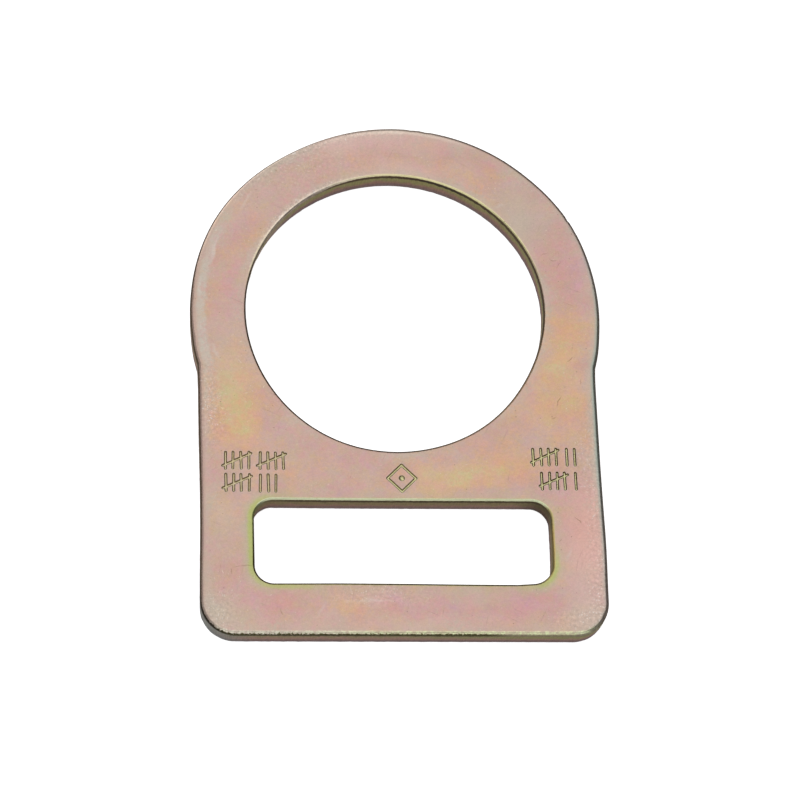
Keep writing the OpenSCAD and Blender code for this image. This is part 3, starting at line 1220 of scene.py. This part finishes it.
# %% Gloss and relief of the film
shade = (mottle((satin_fine, 0.3), (worn_fine, 0.2), (worn, 0.16)) + 0.99
         + (worn_fine - 0.5) * rough_places * 0.7)
film.metal(shade, (satin - 0.5) * 0.16 + 0.33 + groove * 0.12)
film.relief(satin_fine + satin * 0.6 - pores - scratches * 0.8, 0.5, 0.00002)
plated_ring.data.materials.append(film.material)
print(film.material.name, "has", len(film.tree.nodes), "nodes")

# %% [markdown]
# ## The sheared wall
# The wall is rubbed smooth at the top and torn at the bottom. It is olive or tan under the
# front edge and brown further down; the grey at the back edge is a painted reflection of the
# floor. Fine upright rubbing marks come from a grain stretched in height.

# %% Rubbed and torn parts of the wall
wall_olive, slot_tan, foot_tan, foot_olive = (
    (200, 194, 136), (188, 172, 126), (206, 190, 150), (200, 196, 140))
wall_brown, foot_brown = (208, 172, 154), (220, 184, 168)
wall = Coat("sheared_wall")
wall.bands_at = vector("MULTIPLY", wall.place, (1, 1, 0.08))
rubbing_fine, rubbing = wall.grain(0.16, 1.1, wall.bands_at)
torn_fine, torn = wall.grain(0.25, 0.9)
at_foot, in_eye, in_slot = (fade(wall.measure(name + "_rim"), 1, 0.5) for name in rims)
to_right = fade(wall.x, -8, 18)
higher = at_foot * (1 - to_right * 0.8)
above_tear = (torn - 0.5) * 1.6 + wall.measure("above_tear")
upper = fade(above_tear, higher * 0.5 - 0.5, higher * 0.4 + 0.7)
outer_tone = blend(in_slot, blend(to_right, foot_tan, foot_olive), slot_tan)
upper_tone = blend(in_eye, outer_tone, wall_olive)
wall.colour = blend(upper, blend(at_foot, wall_brown, foot_brown), upper_tone)
print(len(wall.tree.nodes), "nodes so far")

# %% [markdown]
# A corner of the slot gets painted shade, a corner of the foot is greyer, the worn side of the
# eye is paler, and the low wall has a painted reflection of the floor. The painted shade line
# goes on from the face down the wall's top, and is faint where the face's own line is faint.

# %% Painted reflection, corners and painted shade line of the wall
wall_floor_reflection, wall_lip_reflection, slot_corner_shade = (184, 158, 156), (214, 212, 216), (96, 88, 56)
wall_corner, wall_worn = (184, 192, 190), (240, 214, 204)
# painted reflection of the floor: grey low on the wall and pale at the back lip
wall.lay(wall_floor_reflection, wall.edge(wall.z, 0.95, 0.7, 0.5, 1.2))
wall.lay(wall_lip_reflection, wall.edge(wall.z, 0.25, 0.25, 0.2, 1))
# painted shade in a corner of the slot
wall.lay(slot_corner_shade, wall.patch(22.2, -33, 4, 4) * 0.6)
wall.lay(wall_corner, wall.patch(-30.5, -52, 7.5, 7.5) * 0.8)
eye_worn = wall.patch(-20.5, 12, 10, 10) * 0.75
wall.lay(wall_worn, eye_worn * fade(rubbing, 0.34, 0.6))

slot_ends = most(wall.patch(-22.5, -34, 5, 5), wall.patch(23, -40.5, 6, 6))
foot_end = at_foot * fade(wall.x, 12, 17)
edge_shade_depth = (0.9 - wall.patch(-14, 19, 15, 15) * 0.9 - foot_end * 0.5
              - in_slot * 0.2 - slot_ends * 0.5)
# painted shade: the dark line under the rolled front edge, down the wall's top
edge_shade_tone = blend(wall.patch(10, 21.5, 9, 9), brown_edge_shade, black_edge_shade)
wall.lay(edge_shade_tone, wall.band(wall.z, 3.25, 9, 0.2, 0.9, 0.55) * edge_shade_depth)

wall.metal((rubbing_fine - 0.5) * 0.7 + 1, 0.56 - upper * 0.14)
wall.relief(torn_fine + (rubbing_fine - torn_fine) * upper, 0.6, 0.00005)
plated_ring.data.materials.append(wall.material)
print(wall.material.name, "has", len(wall.tree.nodes), "nodes")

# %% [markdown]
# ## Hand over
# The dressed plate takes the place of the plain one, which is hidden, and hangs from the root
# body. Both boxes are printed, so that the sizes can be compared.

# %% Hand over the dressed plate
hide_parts("d_ring")
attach(plated_ring, "root")

boxes = {"cad": [list(corner) for corner in cad_box],
         "visual": [list(corner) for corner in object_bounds()]}
for name, (lowest, highest) in boxes.items():
    print(name, [round(v / MM, 3) for v in lowest], [round(v / MM, 3) for v in highest])
